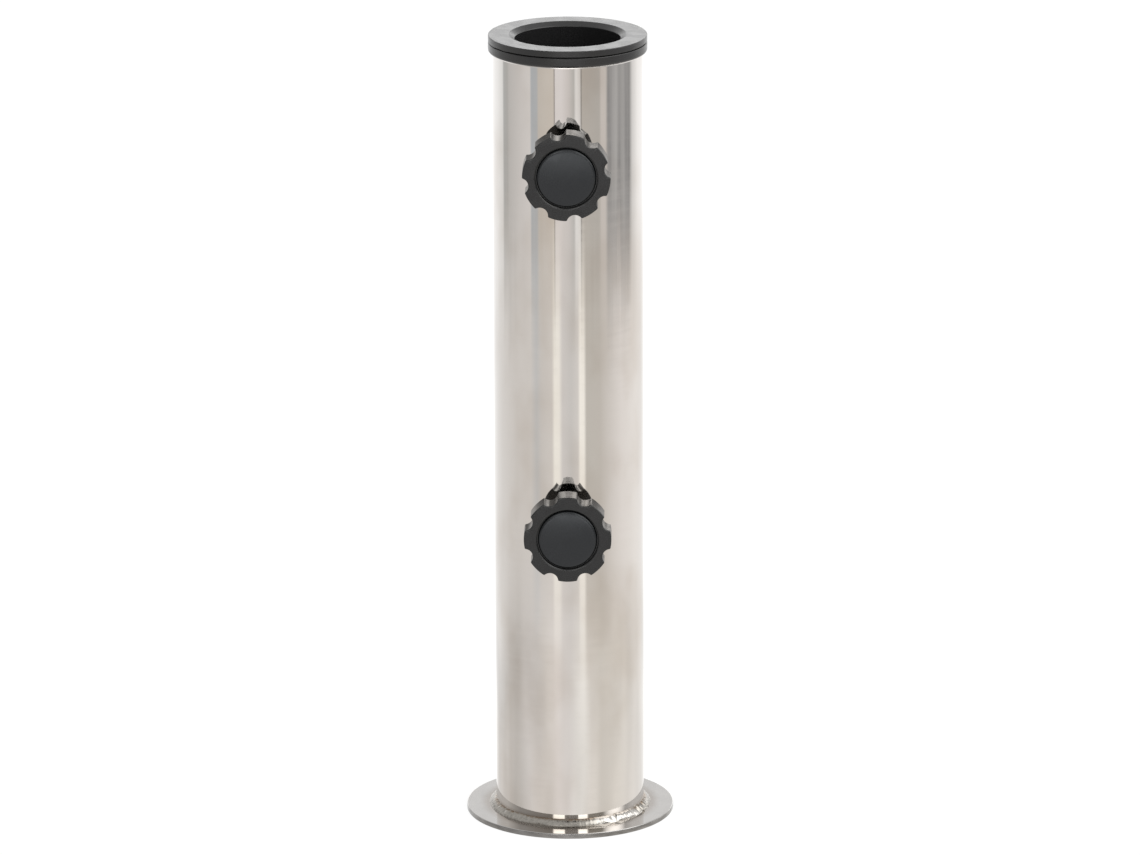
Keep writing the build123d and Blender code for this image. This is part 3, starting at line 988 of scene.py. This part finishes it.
class HOLDER_OT_knobs(bpy.types.Operator):
    """Make the two lobed knobs: rounded rim, cap seat, hexagonal pocket, and a cored back with ribs"""

    bl_idname = "holder.knobs"
    bl_label = "Knobs"

    def execute(self, context):
        """Rings carried from the back edge over the front and down through the pocket to the cored back. Rim
        rings are the outline moved in along its own normals by a quarter circle; the others are circles and a
        hexagon at the same angles."""
        s = sizes()
        rim, facing = knob_rim(s.lobes, KNOB_R, s.notch_r, s.notch_floor_r, 0.5 * MM)
        u = np.arctan2(rim[:, 1], rim[:, 0])
        rings = []

        def outline(inset, height):
            rings.append(np.column_stack((rim - inset * facing, np.full(len(rim), height))))

        def ring(radius, height):
            rings.append(polar(u, radius, height))

        back, front = 0.3 * MM, s.knob_edge
        for t in np.linspace(0, np.pi / 2, 4):
            outline(back * (1 - math.sin(t)), KNOB_BACK + back * (1 - math.cos(t)))
        for t in np.linspace(0, np.pi / 2, 6):
            outline(front * (1 - math.cos(t)), KNOB_FRONT - front * (1 - math.sin(t)))
        lip, groove, seat = CAP_LIP_R, CAP_GROOVE_R, CAP_R + 0.05 * MM
        groove_floor = KNOB_FRONT - CAP_GROOVE_DEPTH
        ring(12.6 * MM, KNOB_FRONT)
        ring(lip + 0.1 * MM, KNOB_FRONT)
        for t in np.linspace(0, np.pi / 2, 5):
            ring(lip - (lip - groove) * math.sin(t), KNOB_FRONT - (lip - groove) * (1 - math.cos(t)))
        pocket = hexagon(u, HEAD_FLATS + 0.1 * MM)
        for radius, height in ((groove, groove_floor), (seat, groove_floor), (seat, CAP_SEAT),
                               (pocket, CAP_SEAT), (pocket, HEAD_SEAT), (SCREW_HOLE_R, HEAD_SEAT),
                               (SCREW_HOLE_R, HUB_BACK)):
            ring(radius, height)
        for t in np.linspace(0, np.pi / 2, 4):
            ring(HUB_R - back * (1 - math.sin(t)), HUB_BACK + back * (1 - math.cos(t)))
        for radius, height in ((HUB_R, CORE_TOP), (CORE_R, CORE_TOP), (CORE_R, KNOB_BACK + 0.2 * MM),
                               (CORE_R + 0.2 * MM, KNOB_BACK)):
            ring(radius, height)
        rib = block((HUB_R - 0.4 * MM, -0.6 * MM, 33.6 * MM), (CORE_R + 0.4 * MM, 0.6 * MM, 36.5 * MM))
        ribs = [spun(rib, index * 2 * math.pi / s.lobes) for index in range(s.lobes)]
        parts = [np.stack(rings, axis=1), *ribs]
        for name in CLAMPS:
            placed = [(at_clamp(part, name, knob_turn(name)), index == 0) for index, part in enumerate(parts)]
            make_piece(name + "_knob_grip", placed, knob_plastic(), name + "_knob",
                       name + "_knob")
        return {"FINISHED"}


class HOLDER_OT_knob_caps(bpy.types.Operator):
    """Make the knob caps: a slightly domed disc on a skirt"""

    bl_idname = "holder.knob_caps"
    bl_label = "Knob caps"

    def execute(self, context):
        """The dome falls with the square of the radius; its rim is an arc and runs into the skirt."""
        rise, ease = 0.55 * MM, 1.1 * MM
        lean = math.atan(2 * rise * (CAP_R - ease) / CAP_R**2)
        r = np.linspace(0, CAP_R - ease * (1 - math.sin(lean)), 16)
        dome = np.column_stack((r, CAP_CROWN - rise * (r / CAP_R) ** 2))
        t = np.linspace(lean, np.pi / 2, 9)[1:]
        middle = dome[-1, 1] - ease * math.cos(lean)
        edge = np.column_stack((CAP_R - ease * (1 - np.sin(t)), middle + ease * np.cos(t)))
        rest = np.array(((CAP_R, CAP_SEAT + 0.2 * MM), (CAP_R - 0.2 * MM, CAP_SEAT), (CAP_SKIRT_R, CAP_SEAT),
                         (CAP_SKIRT_R, CAP_UNDER), (0, CAP_UNDER)))
        section = np.concatenate((dome, edge, rest))
        for name in CLAMPS:
            grid = at_clamp(lathe(section, 180), name, knob_turn(name))
            make_piece(name + "_knob_cover", [(grid, False)], cap_plastic(), name + "_knob",
                       name + "_knob_cap")
        return {"FINISHED"}


class HOLDER_OT_clamp_screws(bpy.types.Operator):
    """Make the clamp screws: chamfered hexagon head, rolled thread and a socket for the tip"""

    bl_idname = "holder.clamp_screws"
    bl_label = "Clamp screws"

    def execute(self, context):
        """Rings from the head's middle over its cone-cut hexagon, under it to the shank, down the thread's
        clipped wave to a chamfered end, and up into the socket."""
        pitch = sizes().thread_pitch
        u = turn(96)[:, None]
        hexa, face, drop = chamfered(u, HEAD_FLATS)
        heights = np.linspace(HEAD_SEAT - 0.05 * MM, SCREW_END, 170)[None]
        shank = thread(u, heights, pitch, SCREW_ROOT_R, SCREW_R)
        plain = np.clip((heights - (HEAD_SEAT - 1.2 * MM)) / (0.8 * MM), 0, 1)
        shank = shank * (1 - plain) + SCREW_R * plain
        shank = np.minimum(shank, 3.3 * MM + (heights - SCREW_END))
        socket, depth = 1.65 * MM, SCREW_END + 4.0 * MM
        screw = rings(u, ((0, HEAD_TOP), (face, HEAD_TOP), (hexa, HEAD_TOP - drop), (hexa, HEAD_SEAT),
                          (SCREW_R, HEAD_SEAT), (shank, heights), (socket, SCREW_END), (socket, depth),
                          (0, depth)))
        for name in CLAMPS:
            make_piece(name + "_screw_threaded", [(at_clamp(screw, name), False)], hardware_steel(),
                       name + "_knob", name + "_clamp_screw")
        return {"FINISHED"}


class HOLDER_OT_screw_tips(bpy.types.Operator):
    """Make the nylon tips of the clamp screws"""

    bl_idname = "holder.screw_tips"
    bl_label = "Screw tips"

    def execute(self, context):
        """A rounded head and a stem, from the face that presses on the pole to the stem's end."""
        edge = 0.5 * MM
        back = SCREW_END - 0.05 * MM
        stem, end = 1.6 * MM, SCREW_END + 3.5 * MM
        t = np.linspace(0, np.pi / 2, 7)
        face = np.column_stack((TIP_R - edge * (1 - np.sin(t)), TIP_FACE + edge * (1 - np.cos(t))))
        section = np.concatenate((
            ((0, TIP_FACE),), face,
            ((TIP_R, back - 0.2 * MM), (TIP_R - 0.2 * MM, back), (stem, back), (stem, end - 0.3 * MM),
             (stem - 0.3 * MM, end), (0, end))))
        for name in CLAMPS:
            grid = at_clamp(lathe(section, 72), name)
            make_piece(name + "_tip_nylon", [(grid, False)], nylon(), name + "_tip",
                       name + "_screw_tip")
        return {"FINISHED"}


# --- Stage: floor, studio surround and camera ---

VIEW_AZIMUTH = 0.879
VIEW_ELEVATION = 15.787
VIEW_ROLL = -0.195
VIEW_DISTANCE = 2.757
VIEW_LENS = 236.24
AIM_HEIGHT = 0.14693
AIM_SIDE = 0.0004
STUDIO_POWER = 3.0


class HOLDER_OT_stage(bpy.types.Operator):
    """Make the pale floor, the studio surround and the camera"""

    bl_idname = "holder.stage"
    bl_label = "Stage"

    def execute(self, context):
        """Floor first, then the light that surrounds it, then the camera."""
        self.floor()
        self.surround()
        self.camera()
        bpy.context.scene.view_settings.view_transform = "Standard"
        return {"FINISHED"}

    @staticmethod
    def floor():
        """A wide floor that the camera sees and the polished metal doesn't."""
        half = 40.0
        mesh = bpy.data.meshes.new("floor")
        corners = [(-half, -half, 0), (half, -half, 0), (half, half, 0), (-half, half, 0)]
        mesh.from_pydata(corners, [], [(0, 1, 2, 3)])
        floor = in_scene("floor", mesh)
        material = bpy.data.materials.new("floor_paper")
        material.use_nodes = True
        tree = material.node_tree
        tree.nodes.clear()
        paper = node(tree, "BsdfDiffuse", {"Color": (*shade("floor"), 1.0)})
        glow = node(tree, "Emission", {"Color": (1.0, 1.0, 1.0, 1.0), "Strength": 1.03})
        mix = node(tree, "MixShader", {0: 0.92})
        tree.links.new(paper.outputs[0], mix.inputs[1])
        tree.links.new(glow.outputs[0], mix.inputs[2])
        output = tree.nodes.new("ShaderNodeOutputMaterial")
        tree.links.new(mix.outputs[0], output.inputs["Surface"])
        mesh.materials.append(material)
        floor.visible_glossy = False

    @staticmethod
    def surround():
        """The studio as a colour for each direction: white behind, soft cards and gaps at the sides, a pale
        table below, a darker room in front with two windows, and a soft light overhead."""
        world = bpy.data.worlds.new("studio")
        bpy.context.scene.world = world
        world.use_nodes = True
        tree = world.node_tree
        tree.nodes.clear()
        way = node(tree, "TexCoord").outputs["Generated"]
        axes = node(tree, "SeparateXYZ", {"Vector": way}).outputs
        round_by = calc(tree, "ARCTAN2", axes["X"], calc(tree, "MULTIPLY", axes["Y"], -1.0))
        azimuth = calc(tree, "MULTIPLY", round_by, 180 / math.pi)
        rise = calc(tree, "MULTIPLY", calc(tree, "ARCSINE", axes["Z"]), 180 / math.pi)
        near, middle = studio_table(tree, way, azimuth), studio_strips(tree, azimuth)
        below = blend(tree, span(tree, rise, -17.7, -16.6), near, middle)
        smudge = noise(tree, stretched(tree, way, (1.0, 1.0, 7.0)), 4.5, 4.0, 0.6)
        grey_side = calc(tree, "MULTIPLY", span(tree, azimuth, 58.0, 66.0), span(tree, azimuth, 113.0, 108.0))
        smudged = calc(tree, "MULTIPLY", span(tree, smudge, 0.62, 0.40), grey_side)
        smudged = calc(tree, "MULTIPLY", smudged, 0.6)
        cards = blend(tree, smudged, studio_cards(tree, azimuth), (0.09, 0.09, 0.092))
        reach = calc(tree, "ADD", rise, calc(tree, "MULTIPLY_ADD", smudge, 1.6, -0.8))
        below = blend(tree, span(tree, reach, -15.3, -13.9), below, cards)
        everything = blend(tree, span(tree, rise, -12.4, -9.0), below, studio_room(tree, way, azimuth, rise))
        seen = node(tree, "LightPath").outputs["Is Camera Ray"]
        white = (1.0 / STUDIO_POWER,) * 3
        colour_seen = blend(tree, seen, everything, white)
        glow = node(tree, "Background", {"Color": colour_seen, "Strength": STUDIO_POWER})
        output = tree.nodes.new("ShaderNodeOutputWorld")
        tree.links.new(glow.outputs[0], output.inputs["Surface"])

    @staticmethod
    def camera():
        """A long lens that looks down on the holder from the front."""
        data = bpy.data.cameras.new("camera")
        data.lens = VIEW_LENS
        data.sensor_width = 36.0
        data.clip_end = 100.0
        a, e, roll = (math.radians(value) for value in (VIEW_AZIMUTH, VIEW_ELEVATION, VIEW_ROLL))
        back = Vector((math.sin(a) * math.cos(e), -math.cos(a) * math.cos(e), math.sin(e)))
        right = Vector((math.cos(a), math.sin(a), 0))
        up = back.cross(right)
        tilted_right = math.cos(roll) * right + math.sin(roll) * up
        tilted_up = -math.sin(roll) * right + math.cos(roll) * up
        aim = right * AIM_SIDE + Vector((0, 0, AIM_HEIGHT))
        place = Matrix((tilted_right, tilted_up, back)).transposed().to_4x4()
        place.translation = aim + back * VIEW_DISTANCE
        camera = in_scene("camera", data)
        camera.matrix_world = place
        bpy.context.scene.camera = camera


def ramp(tree, value, stops):
    """Colours against a value in degrees from -180 to 180, from stops (degrees, grey) or (degrees, red,
    green, blue). They are stored at a share of their strength, because the stops hold no more than 1."""
    made = node(tree, "ValToRGB", {"Fac": calc(tree, "MULTIPLY_ADD", value, 1 / 360, 0.5)})
    band = made.color_ramp
    band.elements.remove(band.elements[1])
    for index, (degrees, *glow) in enumerate(stops):
        position = degrees / 360 + 0.5
        element = band.elements[0] if index == 0 else band.elements.new(position)
        element.position = position
        red, green, blue = glow * 3 if len(glow) == 1 else glow
        element.color = (red / STUDIO_POWER, green / STUDIO_POWER, blue / STUDIO_POWER, 1.0)
    return made.outputs["Color"]


def studio_cards(tree, azimuth):
    """The far end of the table: cards, curtains and gaps, by azimuth from straight in front."""
    return ramp(tree, azimuth, (
        (-180, 1.26, 1.26, 1.27), (-134, 1.07, 1.08, 1.09), (-118, 0.93, 0.94, 0.94),
        (-114.5, 0.55, 0.56, 0.56), (-105, 0.54, 0.54, 0.53), (-101, 0.63, 0.62, 0.61),
        (-74, 0.76, 0.74, 0.73), (-59, 0.82, 0.80, 0.79), (-57, 0.54, 0.575, 0.61),
        (-47, 0.56, 0.585, 0.61), (-45, 0.69, 0.65, 0.60), (-21, 0.76, 0.71, 0.65),
        (-19.8, 0.26, 0.24, 0.23), (-18.6, 0.90, 0.87, 0.87), (-9, 0.90, 0.87, 0.87), (2, 0.78, 0.75, 0.74),
        (10, 0.62, 0.62, 0.61), (13, 1.0), (19.6, 0.84, 0.83, 0.82), (21, 0.26, 0.25, 0.24),
        (22.4, 0.60, 0.57, 0.53), (50, 0.57, 0.55, 0.52), (53, 0.73, 0.69, 0.66), (61, 0.73, 0.69, 0.66),
        (64.5, 0.46), (80, 0.52), (88, 0.42), (97, 0.50), (109, 0.36), (117, 0.85), (134, 1.12),
        (180, 1.26, 1.26, 1.27),
    ))


def studio_strips(tree, azimuth):
    """The middle of the table: pale and warm, with two bright strips."""
    return ramp(tree, azimuth, (
        (-180, 1.2), (-148, 1.0), (-124, 0.88, 0.87, 0.86), (-88, 0.80, 0.78, 0.76),
        (-60, 0.82, 0.80, 0.78), (-50, 0.71, 0.72, 0.73), (-42, 0.77, 0.75, 0.73), (-25, 0.82, 0.79, 0.76),
        (-21, 1.12, 1.10, 1.03), (-14, 1.10, 1.08, 1.02), (-9, 0.82, 0.80, 0.79), (4, 0.76, 0.75, 0.74),
        (15, 0.84, 0.82, 0.80), (18, 1.18, 1.16, 1.10), (24, 1.16, 1.14, 1.08), (28, 0.68, 0.66, 0.62),
        (50, 0.69, 0.66, 0.62), (64, 0.80, 0.77, 0.74), (90, 0.96, 0.93, 0.91), (124, 1.04, 1.02, 1.0),
        (150, 1.03, 1.02, 1.01), (180, 1.2),
    ))


def studio_table(tree, way, azimuth):
    """The near part of the table: pale, warm and softly blotched, with edges that wander."""
    flat = stretched(tree, way, (1.0, 1.0, 30.0))
    wander = calc(tree, "MULTIPLY_ADD", noise(tree, flat, 1.6, 0.0, 0.5), 30.0, -15.0)
    base = ramp(tree, calc(tree, "ADD", azimuth, wander), (
        (-180, 1.2), (-148, 0.96), (-128, 0.84, 0.83, 0.82), (-106, 0.69, 0.67, 0.65),
        (-84, 0.68, 0.66, 0.64), (-60, 0.80, 0.78, 0.77), (-35, 0.90, 0.88, 0.86), (-20, 0.95, 0.92, 0.91),
        (0, 0.91, 0.89, 0.88), (12, 0.96, 0.95, 0.93), (20, 1.06, 1.05, 1.02), (30, 0.92, 0.89, 0.85),
        (55, 0.87, 0.84, 0.79), (80, 0.91, 0.88, 0.83), (120, 0.94, 0.92, 0.89), (150, 0.99, 0.98, 0.96),
        (180, 1.2),
    ))
    blotches = span(tree, noise(tree, flat, 2.6, 0.5, 0.5), 0.3, 0.7, 0.92, 1.05)
    tinted = node(tree, "CombineXYZ", {"X": blotches, "Y": blotches, "Z": blotches}).outputs["Vector"]
    return blend(tree, 1.0, base, tinted, "MULTIPLY")


def studio_room(tree, way, azimuth, rise):
    """What stands above the table, from its edge up: a pale edge, a dark gap, a grey wall with two windows in
    front, white paper behind, and a soft round light overhead on the right."""
    lip = ramp(tree, azimuth, (
        (-180, 1.3), (-110, 1.2), (-60, 0.7), (-26, 0.8), (-9, 3.0), (7, 3.0), (24, 0.8), (60, 0.7),
        (110, 1.2), (180, 1.3),
    ))
    far = ramp(tree, azimuth, (
        (-180, 1.3), (-110, 1.1), (-60, 0.6), (60, 0.6), (110, 1.1), (180, 1.3),
    ))
    edge = blend(tree, span(tree, rise, -9.0, -7.0), far, lip)
    gap = ramp(tree, azimuth, (
        (-180, 1.2), (-110, 1.1), (-85, 0.45), (-60, 0.24), (60, 0.24), (85, 0.45), (110, 1.1), (180, 1.2),
    ))
    wall = ramp(tree, azimuth, (
        (-180, 1.05), (-115, 1.05), (-85, 0.55, 0.54, 0.53), (-26, 0.42, 0.40, 0.38), (-25, 3.0, 3.0, 2.9),
        (-8, 3.0, 3.0, 2.9), (-7, 0.42, 0.40, 0.38), (12.7, 0.40, 0.38, 0.36), (13.7, 3.0, 3.0, 2.9),
        (27, 3.0, 3.0, 2.9), (29, 0.50, 0.47, 0.42), (50, 0.46, 0.44, 0.40), (85, 0.60, 0.59, 0.58),
        (115, 1.05), (180, 1.05),
    ))
    shelf = ramp(tree, azimuth, (
        (-180, 2.8), (-168, 2.8), (-145, 0.5), (-32, 0.5), (-12, 2.8), (180, 2.8),
    ))
    part = blend(tree, span(tree, rise, -2.0, 0.0), edge, gap)
    part = blend(tree, span(tree, rise, 9.5, 11.5), part, shelf)
    part = blend(tree, span(tree, rise, 16.4, 17.4), part, wall)
    ceiling = (0.85 / STUDIO_POWER,) * 3
    part = blend(tree, span(tree, rise, 26.0, 38.0), part, ceiling)
    lamp = node(tree, "VectorMath", {0: way, 1: (0.683, -0.183, 0.707)}, operation="DOT_PRODUCT")
    towards = lamp.outputs["Value"]
    return blend(tree, span(tree, towards, 0.84, 0.92), part, (1.0, 1.0, 0.99))


# --- Add-on ---

OPERATORS = (
    HOLDER_OT_stage,
    HOLDER_OT_tube,
    HOLDER_OT_base_plate,
    HOLDER_OT_base_weld,
    HOLDER_OT_nut_welds,
    HOLDER_OT_clamp_nuts,
    HOLDER_OT_base_nut,
    HOLDER_OT_bushes,
    HOLDER_OT_knobs,
    HOLDER_OT_knob_caps,
    HOLDER_OT_clamp_screws,
    HOLDER_OT_screw_tips,
)


class HOLDER_PT_panel(bpy.types.Panel):
    """The holder's sizes, colours and operators"""

    bl_idname = "HOLDER_PT_panel"
    bl_label = "Pole Holder"
    bl_space_type = "VIEW_3D"
    bl_region_type = "UI"
    bl_category = "Holder"

    def draw(self, context):
        """List the properties and then the operators."""
        for group in (context.scene.holder_sizes, context.scene.holder_colours):
            box = self.layout.box()
            for key in group.bl_rna.properties.keys():
                if key not in ("rna_type", "name"):
                    box.prop(group, key)
        for operator in OPERATORS:
            self.layout.operator(operator.bl_idname)


CLASSES = (HolderSizes, HolderColours, *OPERATORS, HOLDER_PT_panel)


def register():
    """Register the classes and hang the properties on the scene."""
    for each in CLASSES:
        bpy.utils.register_class(each)
    bpy.types.Scene.holder_sizes = PointerProperty(type=HolderSizes)
    bpy.types.Scene.holder_colours = PointerProperty(type=HolderColours)


def unregister():
    """Undo register."""
    del bpy.types.Scene.holder_colours
    del bpy.types.Scene.holder_sizes
    for each in reversed(CLASSES):
        bpy.utils.unregister_class(each)


def main():
    """Build everything in order."""
    register()
    for operator in OPERATORS:
        group, name = operator.bl_idname.split(".")
        getattr(getattr(bpy.ops, group), name)()


if __name__ == "__main__":
    main()
